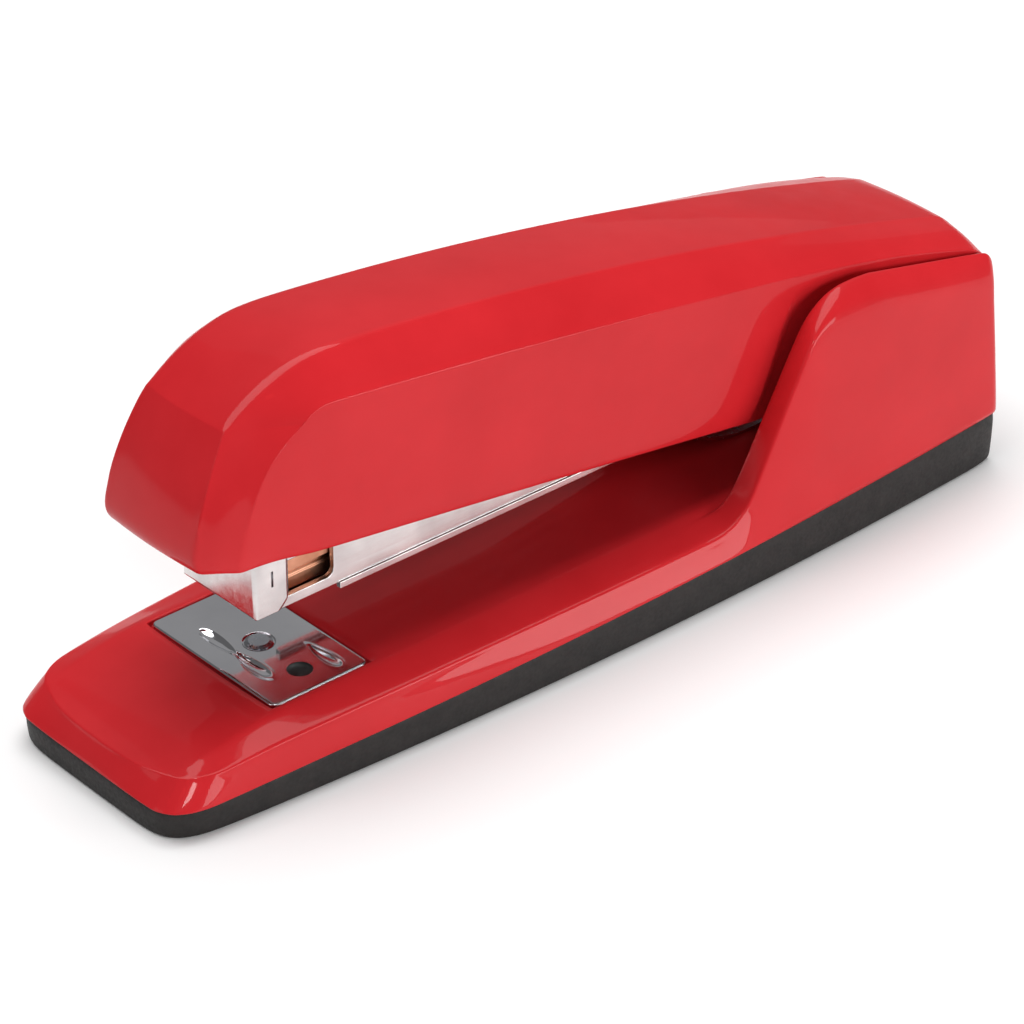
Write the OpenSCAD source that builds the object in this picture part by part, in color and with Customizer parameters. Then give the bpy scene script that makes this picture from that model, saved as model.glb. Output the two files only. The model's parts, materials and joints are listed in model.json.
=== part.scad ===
// Full-strip desk stapler: a cast base with two flanks, a magazine and a cover that swing on
// one hinge pin between the flanks, and an anvil plate that lifts and turns.
// Frame: millimetres, +Z up, nose towards -X, z = 0 on the table, y = 0 in the middle.

/* [Base] */
// Overall length of the base
base_len = 181; // [177:1:185]
// Half width of the base where it is widest, at its lower edge
base_half = 26.5; // [26:0.1:27.5]
// Radius of the bowed sides, seen from above
bow_r = 1090; // [900:10:1400]
// Where along the base it is widest
widest_x = 18.75; // [10:0.25:25]
// Radius of the base's corners, seen from above
corner_r = 7; // [5:0.5:10]
// Height of the deck that carries the anvil
deck_z = 12.9; // [12.6:0.1:13.2]
// Thickness of the pad at its front end
pad_front_t = 5.1; // [4:0.1:5.5]
// Thickness of the pad at its rear end
pad_rear_t = 9.8; // [9:0.1:10]

/* [Flanks] */
// Inner face of each flank, from the middle
flank_in = 18.6; // [18.4:0.1:19.5]
// Outer face of each flank at its front, from the middle
flank_out = 25; // [24:0.1:25.2]
// Outer face of each flank at its rear, from the middle
flank_out_rear = 23.6; // [23:0.1:23.8]
// Top of a flank at its front
flank_top_z = 46.7; // [45:0.1:47]
// Radius of a flank's front corner
flank_corner_r = 6; // [4:0.5:7]

/* [Hinge] */
// Distance of the hinge pin behind the middle
pin_x = 74; // [73:0.5:75]
// Height of the hinge pin
pin_z = 31; // [30.5:0.1:31.5]
// Radius of the hinge pin
pin_r = 1.6; // [1.4:0.1:1.8]

/* [Cover] */
// Height of the crest where it starts, behind the nose
crest_z = 67.9; // [66:0.1:68.5]
// Half width of the flat crest
crest_half = 9.5; // [8:0.1:10]
// Height of the shoulder edge where it starts
shoulder_z = 61.75; // [60:0.05:62.5]
// Wall thickness of the cover
cover_wall = 1.4; // [1:0.1:1.6]
// Nose-up tilt of the cover over the magazine when nothing is pressed, in degrees
cover_tilt = 7.1; // [6:0.1:8]

/* [Magazine] */
// Underside of the magazine floor
mag_z = 23.7; // [23.5:0.1:24]
// Half width inside the magazine channel
mag_in = 7.2; // [7:0.1:7.4]
// Half width outside the magazine channel
mag_out = 8.2; // [8:0.1:8.4]
// Half width outside the nose sleeve
sleeve_half = 9.27; // [9:0.01:9.4]
// Length of the loaded staple strip
strip_len = 2.75; // [2.75:0.55:22]
// Outside width of one staple
staple_w = 12.8; // [12.7:0.05:12.9]

/* [Anvil] */
// Size of the anvil plate along the stapler
anvil_len = 19.1; // [17:0.1:20]
// Size of the anvil plate across the stapler
anvil_wide = 31.5; // [28:0.1:32]
// Distance of the anvil's pivot in front of the middle
anvil_back = 55.65; // [55:0.05:56]

/* [Hidden] */
$fn = 48;
tiny = 0.01;
run_gap = 0.06;

// Base
half_len = base_len / 2;
edge_drop = 1.1;
side_crease_z = deck_z - edge_drop;
front_crease_z = 9.4;
front_crease_inset = 3.6;
pad_slope = (pad_rear_t - pad_front_t) / base_len;
pad_mid_t = (pad_front_t + pad_rear_t) / 2;
well_z = 11;
well_x = 59.5;

// Flank outline, seen from the side
flank_foot_x = 27.9;
flank_front = [47.8, flank_top_z - flank_corner_r];
flank_rear_r = 4;
flank_rear = [half_len - flank_rear_r, 36];
flank_round = 2.4;
flank_gap = 1.6;

// Hinge bracket and what turns between its ears
bracket_t = 1.2;
ear_in = 9.2;
ear_out = ear_in + bracket_t;
ear_r = 4.5;
bracket_x = [61, 86];
bracket_rivet_x = [64.5, 82];
rivet_r = 1.5;
rivet_head_r = 2.6;
rivet_head_t = 0.8;
lift_rivet_x = 52;
lift_rivet_r = 1;
leaf_t = 0.6;

// Cover: crest and shoulder edge follow parabolas along the stapler
bow_start_x = -55;
crest_slope = 0.075;
crest_curve = 0.0007;
shoulder_slope = 0.095;
shoulder_curve = 0.0003;
shoulder_mid_half = 16.2;
shoulder_flare = 0.02;
wall_draft = 0.6;
lower_mid_z = 29.04;
lower_slope = 0.125;
cover_front_x = -76.2;
cover_rear_x = 89;
front_foot = [cover_front_x, 38.8];
front_crease = [-67.85, 60];
front_face_r = 34;
front_face_half = 10.6;
brow_end = [-49, 67.4];
brow_r = 23;
facet_foot = [-70.8, 38.2];
facet_top = [-56.5, 61.4];
facet_r = 36;
// how far the sloping nose moves back for each millimetre it is drawn in
nose_lean = 1.4;
rear_bend_x = 84;
rear_edge_z = 41.5;
rear_half = 16;
recess_half = 15.4;
recess_rear = [109, 32.4];
curl_z = 37;
liner_rivet_x = [-100, -30];

// Liner inside the cover, in the cover's own level frame with the pin at its origin
liner_t = 1;
liner_half = 12;
liner_top = 12;
liner_rear = 3;
boss_grip = 3;
boss_r = 3;
boss_h = 12;
liner_low = 2;
liner_front = -128;
arm_z = 2.2;
arm_t = 0.8;
arm_half = 5;
blade_half = 6.3;
blade_t = 0.6;

// Magazine
mag_floor_t = 0.8;
mag_top_z = 35;
mag_rear_x = pin_x + 4;
hem_x = [-45.8, pin_x - 4];
hem_drop = 1;
nose_x = -63.05;
sleeve_t = 0.97;
sleeve_rear_x = -56.3;
sleeve_top_z = 37;
sleeve_bottom_z = mag_z + 0.6;
strip_front_x = -59.3;
wire_t = 0.55;
rail_half = 5.8;
rail_t = 0.8;
rail_top_z = 31;
rail_bottom_z = mag_z + mag_floor_t + 0.2;
rail_x = [-59.6, 66];
rod_z = 27.6;
rod_r = 1;
tab_half = 2.2;
pusher_len = 12;
pusher_x = strip_front_x + strip_len + 0.1;
pusher_travel = 80;
anchor_x = [62, 68];
blade_x = -61;
blade_bottom_z = rail_top_z + wire_t + 0.65;

// Anvil
anvil_t = 1;
anvil_z = deck_z - anvil_t;
pocket_gap = 0.06;
pocket_r = norm([anvil_len, anvil_wide]) / 2 + 0.3;
post_r = 1.4;
post_head_r = 2.3;
post_head_t = 0.3;
rivet_hole_r = 1;
button_r = 4;
button_z = [1.2, 4.4];
spring_top_z = 9.5;

// Height of the crest at a place along the stapler
function crest_at(x) =
    crest_z - crest_slope * (x - bow_start_x) - crest_curve * pow(x - bow_start_x, 2);

// Height of the shoulder edge at a place along the stapler
function shoulder_at(x) =
    shoulder_z - shoulder_slope * (x - bow_start_x) - shoulder_curve * pow(x - bow_start_x, 2);

// Half width of the cover at its shoulder edge
function shoulder_half_at(x) = shoulder_mid_half + shoulder_flare * x;

// Height of the cover's lower edge, and of the curl that takes over behind the hinge
function lower_at(x) = lower_mid_z - lower_slope * x;
function curl_at(x) = curl_z - 1.3 * (cover_rear_x - x);

// Half width of the base at its lower edge
function half_at(x) = base_half - pow(x - widest_x, 2) / (2 * bow_r);

// Points on the arc of radius r that bulges to the left of the way from p to q
function arc(p, q, r, steps) =
    let (
        mid = (p + q) / 2,
        along = (q - p) / norm(q - p),
        left = [-along[1], along[0]],
        reach = sqrt(r * r - pow(norm(q - p) / 2, 2)),
        centre = mid - left * reach,
        start = atan2(p[1] - centre[1], p[0] - centre[0]),
        sweep = 2 * asin(norm(q - p) / 2 / r)
    )
    [for (i = [0:steps]) centre + r * [cos(start - sweep * i / steps), sin(start - sweep * i / steps)]];

// Quarter turn round a corner's centre, counter-clockwise from an angle
function corner(centre, r, from) =
    [for (i = [0:6]) centre + r * [cos(from + 15 * i), sin(from + 15 * i)]];

// Outline of the base from above, drawn in by inset, and by front_inset more at its front end
function plan_points(inset, front_inset) =
    let (
        r = max(corner_r - inset, 2),
        front = -half_len + inset + front_inset,
        rear = half_len - inset,
        steps = 14,
        along = [for (i = [0:steps]) front + r + (rear - front - 2 * r) * i / steps],
        front_y = half_at(front + r) - inset - r,
        rear_y = half_at(rear - r) - inset - r
    )
    concat(
        corner([front + r, -front_y], r, 180),
        [for (x = along) [x, inset - half_at(x)]],
        corner([rear - r, -rear_y], r, 270),
        corner([rear - r, rear_y], r, 0),
        [for (i = [steps:-1:0]) [along[i], half_at(along[i]) - inset]],
        corner([front + r, front_y], r, 90)
    );

// Thin slice of the base's outline with its upper face at a height
module plan_slice(z, inset, front_inset = 0) {
    translate([0, 0, z - tiny]) linear_extrude(tiny) polygon(plan_points(inset, front_inset));
}

// Everything under the sloping joint between pad and casting
module under_joint() {
    translate([0, 0, pad_mid_t])
        rotate([0, -atan(pad_slope), 0])
            translate([-base_len, -base_len, -2 * pad_mid_t])
                cube([2 * base_len, 2 * base_len, 2 * pad_mid_t]);
}

// A bar of round section across the stapler
module cross_bar(x, z, r, from_y, to_y) {
    translate([x, from_y, z]) rotate([-90, 0, 0]) cylinder(r = r, h = to_y - from_y);
}

// Extrudes an outline in the XZ plane from one y to another
module across(from_y, to_y) {
    translate([0, to_y, 0]) rotate([90, 0, 0]) linear_extrude(to_y - from_y) children();
}

// Puts a copy on each side of the middle plane
module both_sides() {
    children();
    mirror([0, 1, 0]) children();
}

// The cover's own level frame, tilted about the hinge pin
module on_cover() {
    translate([pin_x, 0, pin_z]) rotate([0, cover_tilt, 0]) children();
}

// Coil along +Z from the origin, one tube swept round a helix
module coil(r, wire, turns, length, steps = 14, sides = 6) {
    rings = turns * steps;
    function place(i, j) =
        let (
            turn = 360 * i / steps,
            round_wire = 360 * j / sides,
            reach = r + wire * cos(round_wire)
        )
        [
            reach * cos(turn),
            reach * sin(turn),
            wire + (length - 2 * wire) * i / rings + wire * sin(round_wire)
        ];
    points = [for (i = [0:rings]) for (j = [0:sides - 1]) place(i, j)];
    walls = [
        for (i = [0:rings - 1]) for (j = [0:sides - 1])
            let (k = (j + 1) % sides, low = i * sides, high = low + sides)
            each [[low + j, low + k, high + k], [low + j, high + k, high + j]]
    ];
    start = [[for (j = [sides - 1:-1:0]) j]];
    end = [[for (j = [0:sides - 1]) rings * sides + j]];
    polyhedron(points = points, faces = concat(walls, start, end), convexity = 10);
}

// One flank, its outer edges drawn in by flank_round
module flank() {
    hull() {
        cross_bar(flank_front[0], flank_front[1], flank_corner_r, flank_in, flank_out - flank_round);
        cross_bar(flank_front[0], flank_front[1], flank_corner_r - flank_round, flank_in, flank_out);
        cross_bar(flank_rear[0], flank_rear[1], flank_rear_r, flank_in, flank_out_rear - flank_round);
        cross_bar(flank_rear[0], flank_rear[1], flank_rear_r - flank_round, flank_in, flank_out_rear);
        translate([0, 0, well_z])
            linear_extrude(tiny)
                polygon([
                    [flank_foot_x, flank_in], [half_len, flank_in],
                    [half_len, flank_out_rear - flank_round], [half_len - flank_round, flank_out_rear],
                    [flank_foot_x + flank_round, flank_out], [flank_foot_x, flank_out - flank_round]
                ]);
    }
}

module base_casting() {
    color("firebrick")
    difference() {
        union() {
            hull() {
                plan_slice(pad_front_t / 2, 0);
                plan_slice(front_crease_z, 0.7, front_crease_inset);
                plan_slice(side_crease_z, edge_drop, 9);
                plan_slice(deck_z, 9, 8);
            }
            both_sides() flank();
        }
        under_joint();
        // well between the flanks, in front of which the deck runs on
        translate([well_x, -flank_in, well_z]) cube([base_len, 2 * flank_in, base_len]);
        // round pocket in which the anvil plate turns
        translate([-anvil_back, 0, anvil_z - pocket_gap]) cylinder(r = pocket_r, h = base_len);
        translate([-anvil_back, 0, 0]) cylinder(r = post_r + 0.15, h = base_len);
        translate([-anvil_back, 0, 0]) cylinder(r = button_r + 0.6, h = spring_top_z);
        for (x = bracket_rivet_x) translate([x, 0, 0]) cylinder(r = rivet_r, h = base_len);
        translate([lift_rivet_x, 0, 0]) cylinder(r = lift_rivet_r, h = base_len);
    }
}

module base_pad() {
    color([0.16, 0.14, 0.14])
    difference() {
        hull() {
            plan_slice(tiny, 1);
            plan_slice(0.6, 0.5);
            plan_slice(pad_rear_t + 1, 0);
        }
        translate([0, 0, pad_mid_t])
            rotate([0, -atan(pad_slope), 0])
                translate([-base_len, -base_len, 0]) cube([2 * base_len, 2 * base_len, base_len]);
        translate([-anvil_back, 0, -1]) cylinder(r = button_r + 0.6, h = base_len);
    }
}

module hinge_bracket() {
    color("silver")
    difference() {
        union() {
            translate([bracket_x[0], -ear_out, well_z])
                cube([bracket_x[1] - bracket_x[0], 2 * ear_out, bracket_t]);
            both_sides() {
                across(ear_in, ear_out)
                    polygon([
                        [bracket_x[0], well_z], [pin_x + 4, well_z], [pin_x + ear_r, pin_z],
                        [pin_x - ear_r, pin_z]
                    ]);
                cross_bar(pin_x, pin_z, ear_r, ear_in, ear_out);
            }
        }
        cross_bar(pin_x, pin_z, pin_r, -base_half, base_half);
        for (x = bracket_rivet_x) translate([x, 0, 0]) cylinder(r = rivet_r, h = base_len);
    }
}

module bracket_rivets() {
    color("gainsboro")
    for (x = bracket_rivet_x) {
        translate([x, 0, well_z - 1]) cylinder(r = rivet_r, h = bracket_t + 1);
        translate([x, 0, well_z + bracket_t]) cylinder(r = rivet_head_r, h = rivet_head_t);
    }
}

module hinge_pin() {
    color("gainsboro")
    union() {
        cross_bar(pin_x, pin_z, pin_r, -liner_half - 0.4, liner_half + 1.5);
        cross_bar(pin_x, pin_z, 2.8, -liner_half - 1.3, -liner_half - 0.3);
    }
}

module pin_ring() {
    color("dimgray")
    difference() {
        cross_bar(pin_x, pin_z, 3, liner_half + 0.3, liner_half + 1.1);
        cross_bar(pin_x, pin_z, pin_r, 0, base_half);
    }
}

// Leaf spring that holds the magazine up off the deck
module lift_spring() {
    leaf_half = 4;
    leaf_r = 26.5;
    bend_x = 48;
    tip_angle = 51;
    color("lightsteelblue")
    difference() {
        union() {
            translate([bend_x - tiny, -leaf_half, deck_z]) cube([8, 2 * leaf_half, leaf_t]);
            across(-leaf_half, leaf_half)
                translate([bend_x, deck_z + leaf_r])
                    intersection() {
                        difference() {
                            circle(r = leaf_r, $fn = 180);
                            circle(r = leaf_r - leaf_t, $fn = 180);
                        }
                        polygon([
                            [0, 0], [0, -2 * leaf_r],
                            2 * leaf_r * [-sin(tip_angle), -cos(tip_angle)]
                        ]);
                    }
        }
        translate([lift_rivet_x, 0, 0]) cylinder(r = lift_rivet_r, h = base_len);
    }
}

module lift_spring_rivet() {
    grip = 2;
    color("gainsboro")
    union() {
        translate([lift_rivet_x, 0, deck_z - grip]) cylinder(r = lift_rivet_r, h = grip + leaf_t);
        translate([lift_rivet_x, 0, deck_z + leaf_t]) cylinder(r = 2 * lift_rivet_r, h = rivet_head_t);
    }
}

// Pair of scoops that curl the staple's legs; each is a slice of a wheel lying across
module clinch_scoop(x, y, reach, wheel_r, depth) {
    translate([x, y, deck_z + wheel_r - depth])
        rotate([0, 90, 0]) cylinder(r = wheel_r, h = reach, center = true, $fn = 96);
}

module anvil_plate() {
    scoop_w = 2;
    color("gainsboro")
    difference() {
        translate([-anvil_back - anvil_len / 2, -anvil_wide / 2, anvil_z])
            cube([anvil_len, anvil_wide, anvil_t]);
        translate([-anvil_back, 0, 0]) cylinder(r = post_r + run_gap, h = base_len);
        translate([-anvil_back, -10.3, 0]) cylinder(r = 2.2, h = base_len);
        for (side = [-1, 1]) {
            // closed clinch: the legs fold towards each other
            clinch_scoop(-anvil_back - 5, side * 4.1, scoop_w, 14.5, 0.55);
            // open clinch: the legs splay outwards for pinning
            clinch_scoop(-anvil_back + 5.2, side * 9.9, scoop_w, 14.5, 0.55);
        }
    }
}

module anvil_post() {
    color("lightsteelblue")
    union() {
        translate([-anvil_back, 0, button_z[1] - 1])
            cylinder(r = post_r, h = deck_z + 0.05 - button_z[1] + 1);
        translate([-anvil_back, 0, deck_z + 0.05]) cylinder(r1 = post_head_r, r2 = 1.7, h = post_head_t);
    }
}

module anvil_button() {
    color([0.2, 0.2, 0.2])
    difference() {
        translate([-anvil_back, 0, button_z[0]]) cylinder(r = button_r, h = button_z[1] - button_z[0]);
        translate([-anvil_back, 0, button_z[1] - 1]) cylinder(r = post_r, h = 2);
    }
}

module anvil_spring() {
    color("lightsteelblue")
    translate([-anvil_back, 0, button_z[1] + 0.1])
        coil(r = 3, wire = 0.3, turns = 4, length = spring_top_z - button_z[1] - 0.2);
}

module magazine_channel() {
    window_r = 1.5;
    window_x = [sleeve_rear_x - 2, -46.7];
    window_z = [25.5, 31.8];
    color("gainsboro")
    difference() {
        union() {
            across(-mag_out, mag_out)
                polygon([
                    [strip_front_x - 1.5, mag_z], [mag_rear_x, mag_z], [mag_rear_x, mag_top_z],
                    [strip_front_x - 1.5, mag_top_z]
                ]);
            // rolled hem along each lower edge
            both_sides()
                translate([hem_x[0], mag_in + 0.4, mag_z - hem_drop])
                    cube([hem_x[1] - hem_x[0], mag_out - mag_in, hem_drop + 0.2]);
        }
        translate([-base_len, -mag_in, mag_z + mag_floor_t])
            cube([2 * base_len, 2 * mag_in, base_len]);
        // staples leave through the open front of the floor
        translate([-base_len, -mag_in, 0]) cube([base_len + strip_front_x + 1, 2 * mag_in, base_len]);
        // side windows that show the rail
        across(-base_half, base_half)
            union() {
                translate([window_x[0], window_z[0] + window_r])
                    square([window_x[1] - window_x[0], window_z[1] - window_z[0] - window_r]);
                translate([window_x[0], window_z[0]])
                    square([window_x[1] - window_x[0] - window_r, window_z[1] - window_z[0]]);
                translate([window_x[1] - window_r, window_z[0] + window_r]) circle(r = window_r);
            }
        cross_bar(pin_x, pin_z, pin_r + run_gap, -base_half, base_half);
    }
}

module nose_sleeve() {
    chamfer = 1.6;
    color("silver")
    difference() {
        across(-sleeve_half, sleeve_half)
            polygon([
                [nose_x, sleeve_bottom_z], [sleeve_rear_x - chamfer, sleeve_bottom_z],
                [sleeve_rear_x, sleeve_bottom_z + chamfer], [sleeve_rear_x, sleeve_top_z],
                [nose_x, sleeve_top_z]
            ]);
        translate([nose_x + sleeve_t, -mag_out - 0.05, 0])
            cube([base_len, 2 * mag_out + 0.1, base_len]);
    }
}

module inner_rail() {
    groove_z = 27;
    color([0.72, 0.43, 0.27])
    difference() {
        translate([rail_x[0], -rail_half, rail_bottom_z])
            cube([rail_x[1] - rail_x[0], 2 * rail_half, rail_top_z - rail_bottom_z]);
        translate([rail_x[0] + rail_t, -rail_half + rail_t, 0])
            cube([base_len, 2 * (rail_half - rail_t), rail_top_z - rail_t]);
        // slot for the pusher's tab
        translate([pusher_x + 2, -tab_half - 0.4, 0])
            cube([pusher_len + pusher_travel, 2 * tab_half + 0.8, base_len]);
        // shallow groove along each side
        both_sides()
            translate([rail_x[0] + 2, rail_half - 0.25, groove_z]) cube([base_len, 1, 0.7]);
        translate([rail_x[0] - 1, 0, rod_z]) rotate([0, 90, 0]) cylinder(r = rod_r, h = 3);
    }
}

module staple_strip() {
    leg_z = mag_z + mag_floor_t + 0.3;
    strip_gap = 0.05;
    color("lightgray")
    difference() {
        translate([strip_front_x, -staple_w / 2, leg_z])
            cube([strip_len, staple_w, rail_top_z + strip_gap + wire_t - leg_z]);
        translate([-base_len, wire_t - staple_w / 2, 0])
            cube([2 * base_len, staple_w - 2 * wire_t, rail_top_z + strip_gap]);
    }
}

module guide_rod() {
    color("lightsteelblue")
    translate([rail_x[0], 0, rod_z]) rotate([0, 90, 0]) cylinder(r = rod_r, h = anchor_x[1] - rail_x[0] - 1);
}

module rod_anchor() {
    color("dimgray")
    difference() {
        translate([anchor_x[0], -rail_half + rail_t, rail_bottom_z])
            cube([anchor_x[1] - anchor_x[0], 2 * (rail_half - rail_t), rail_top_z - rail_t - rail_bottom_z]);
        translate([anchor_x[0] - 1, 0, rod_z]) rotate([0, 90, 0]) cylinder(r = rod_r, h = 20);
    }
}

module pusher() {
    tab_x = pusher_x + 4;
    tab_len = 4;
    shoe_out = mag_in - 0.3;
    shoe_in = rail_half + 0.15;
    roof_z = [rail_top_z + 0.15, rail_top_z + 1.6];
    // the side flaps reach down over the upper part of the rail only
    foot_z = rail_top_z - 2;
    color([0.72, 0.43, 0.27])
    difference() {
        union() {
            difference() {
                translate([pusher_x, -shoe_out, foot_z])
                    cube([pusher_len, 2 * shoe_out, roof_z[1] - foot_z]);
                translate([pusher_x - 1, -shoe_in, 0]) cube([pusher_len + 2, 2 * shoe_in, roof_z[0]]);
            }
            translate([tab_x, -tab_half, rod_z - 2])
                cube([tab_len, 2 * tab_half, roof_z[1] - rod_z + 2]);
        }
        translate([pusher_x, 0, rod_z]) rotate([0, 90, 0]) cylinder(r = rod_r + run_gap, h = pusher_len);
    }
}

module pusher_spring() {
    start_x = pusher_x + 8.1;
    coil_len = anchor_x[0] - start_x - 0.1;
    color("lightsteelblue")
    translate([start_x, 0, rod_z])
        rotate([0, 90, 0])
            coil(r = 1.6, wire = 0.25, turns = 44, length = coil_len, steps = 10, sides = 5);
}

// Points on both sides of the cover's outer surface, or drawn in by inset on all faces.
// They run from the front face, or from the nose-side end of the stretch, to rear_x.
function cover_points(inset, low_z, rear_x) =
    let (
        stations = [for (i = [0:8]) brow_end[0] + (rear_x - brow_end[0]) * i / 8],
        crest = crest_half - inset / 2,
        front_half = front_face_half - inset,
        lean = nose_lean * inset,
        foot_half = shoulder_half_at(facet_foot[0]) - inset,
        side = concat(
            [for (x = stations) [x, crest, crest_at(x) - inset]],
            [for (x = stations) [x, shoulder_half_at(x) - inset, shoulder_at(x) - inset]],
            [
                for (x = stations)
                    [x, shoulder_half_at(x) + wall_draft - inset, max(lower_at(x), curl_at(x)) - low_z]
            ],
            [for (p = arc(front_crease, brow_end, brow_r, 6)) [p[0] + inset, front_half, p[1] - inset]],
            [
                for (p = arc(front_foot, front_crease, front_face_r, 5))
                    [p[0] + lean, front_half, p[1] - inset]
            ],
            [
                for (p = arc(facet_foot, facet_top, facet_r, 5))
                    [p[0] + lean, shoulder_half_at(p[0]) - inset, p[1] - inset]
            ],
            [
                [front_foot[0] + lean, front_half, front_foot[1] - low_z],
                [facet_foot[0] + lean, foot_half, facet_foot[1] - low_z]
            ]
        )
    )
    [for (p = side) for (s = [-1, 1]) [p[0], s * p[1], p[2]]];

// Convex solid through a set of points
module through(points) {
    hull() polyhedron(points, [for (i = [0:len(points) - 3]) [i, i + 1, i + 2]]);
}

module cover_shell() {
    inner_half = recess_half - cover_wall;
    narrow_x = [24, cover_rear_x - cover_wall];
    outer = concat(
        cover_points(0, 0, rear_bend_x),
        [for (s = [-1, 1]) for (z = [curl_z, rear_edge_z]) [cover_rear_x, s * rear_half, z]]
    );
    color("firebrick")
    difference() {
        union() {
            difference() {
                through(outer);
                // hollow under the nose and the middle
                through(cover_points(cover_wall, 30, narrow_x[0] + 5));
                // narrower hollow between the flanks
                through([
                    for (s = [-1, 1]) for (x = narrow_x) for (y = [crest_half, inner_half])
                        for (z = [0, (y == crest_half ? crest_at(x) : shoulder_at(x)) - cover_wall])
                            [x, s * y, z]
                ]);
            }
            // bosses that reach down to the liner
            intersection() {
                through(outer);
                on_cover()
                    for (x = liner_rivet_x) translate([x, 0, liner_top]) cylinder(r = boss_r, h = boss_h);
            }
        }
        // recess in each side for the flank, so that only the shoulder overhangs it
        both_sides()
            hull() {
                cross_bar(
                    flank_front[0], flank_front[1], flank_corner_r + flank_gap, recess_half, base_half);
                cross_bar(recess_rear[0], recess_rear[1], flank_rear_r, recess_half, base_half);
                translate([flank_foot_x - 3, recess_half, 0]) cube([base_len, base_half - recess_half, 8]);
            }
        // blind rivet holes up into the bosses
        for (x = liner_rivet_x)
            on_cover() translate([x, 0, 0]) cylinder(r = rivet_hole_r, h = liner_top + boss_grip);
    }
}

// Folded steel frame under the cover, which turns on the hinge pin
module cover_liner() {
    color("silver")
    on_cover()
        difference() {
            union() {
                translate([liner_front, -liner_half, liner_low])
                    cube([liner_rear - liner_front, 2 * liner_half, liner_top - liner_low]);
                cross_bar(0, 0, 5.5, -liner_half, liner_half);
            }
            translate([liner_front - 1, -liner_half + liner_t, -base_half])
                cube([base_len, 2 * (liner_half - liner_t), base_half + liner_top - liner_t]);
            cross_bar(0, 0, pin_r + run_gap, -base_half, base_half);
            for (x = liner_rivet_x) translate([x, 0, 0]) cylinder(r = rivet_hole_r, h = base_half);
        }
}

// Rivets up into the cover's bosses; the rear one also holds the driver's leaf
module liner_rivets() {
    grip = [liner_t, liner_t + arm_t];
    head_t = 0.7;
    color("gainsboro")
    on_cover()
        for (i = [0, 1]) {
            low_z = liner_top - grip[i];
            translate([liner_rivet_x[i], 0, low_z]) cylinder(r = rivet_hole_r, h = grip[i] + boss_grip);
            translate([liner_rivet_x[i], 0, low_z - head_t]) cylinder(r = 2 * rivet_hole_r, h = head_t);
        }
}

// Where the driver's arm meets the blade, in the cover's level frame
arm_front = (blade_x + blade_t - pin_x) / cos(cover_tilt) - arm_z * tan(cover_tilt);
arm_rivet_x = arm_front + 5;

module driver_blade() {
    top_z = pin_z - arm_front * sin(cover_tilt) + (arm_z + arm_t + blade_t) * cos(cover_tilt);
    color("lightsteelblue")
    difference() {
        union() {
            translate([blade_x, -blade_half, blade_bottom_z])
                cube([blade_t, 2 * blade_half, top_z - blade_bottom_z]);
            on_cover()
                translate([arm_front - blade_t, -arm_half, arm_z + arm_t]) cube([9, 2 * arm_half, blade_t]);
        }
        on_cover() translate([arm_rivet_x, 0, 0]) cylinder(r = rivet_hole_r, h = base_half);
    }
}

// Leaf that carries the blade and is riveted under the liner's roof
module driver_spring() {
    bend_x = [-52, -40];
    tail_x = -26;
    color("steelblue")
    on_cover()
        difference() {
            across(-arm_half, arm_half)
                polygon([
                    [arm_front + 0.2, arm_z], [bend_x[0], arm_z],
                    [bend_x[1], liner_top - liner_t - arm_t], [tail_x, liner_top - liner_t - arm_t],
                    [tail_x, liner_top - liner_t], [bend_x[1] - 0.3, liner_top - liner_t],
                    [bend_x[0] - 0.3, arm_z + arm_t], [arm_front + 0.2, arm_z + arm_t]
                ]);
            translate([arm_rivet_x, 0, 0]) cylinder(r = rivet_hole_r, h = base_half);
            translate([liner_rivet_x[1], 0, 0]) cylinder(r = rivet_hole_r, h = base_half);
        }
}

module driver_rivets() {
    head_t = 0.6;
    color("gainsboro")
    on_cover() {
        for (z = [arm_z - head_t, arm_z + arm_t + blade_t])
            translate([arm_rivet_x, 0, z]) cylinder(r = 1.8 * rivet_hole_r, h = head_t);
        translate([arm_rivet_x, 0, arm_z]) cylinder(r = rivet_hole_r, h = arm_t + blade_t);
    }
}

// Spring that pushes the cover up off the magazine
module cover_spring() {
    seat_z = rail_top_z + 0.1;
    top_z = pin_z + 12.4;
    color("lightsteelblue")
    translate([pin_x - 18, 0, seat_z]) coil(r = 3.6, wire = 0.4, turns = 6, length = top_z - seat_z);
}

base_casting();
base_pad();
hinge_bracket();
bracket_rivets();
hinge_pin();
pin_ring();
lift_spring();
lift_spring_rivet();
anvil_plate();
anvil_post();
anvil_button();
anvil_spring();
magazine_channel();
nose_sleeve();
inner_rail();
staple_strip();
guide_rod();
rod_anchor();
pusher();
pusher_spring();
cover_shell();
cover_liner();
liner_rivets();
driver_blade();
driver_spring();
driver_rivets();
cover_spring();
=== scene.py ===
"""Looks of a full-strip desk stapler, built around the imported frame.

Sizes are in millimetres until a mesh is made. Nose towards -X, +Z up, y = 0 in the middle.
"""

import json
import math

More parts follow.
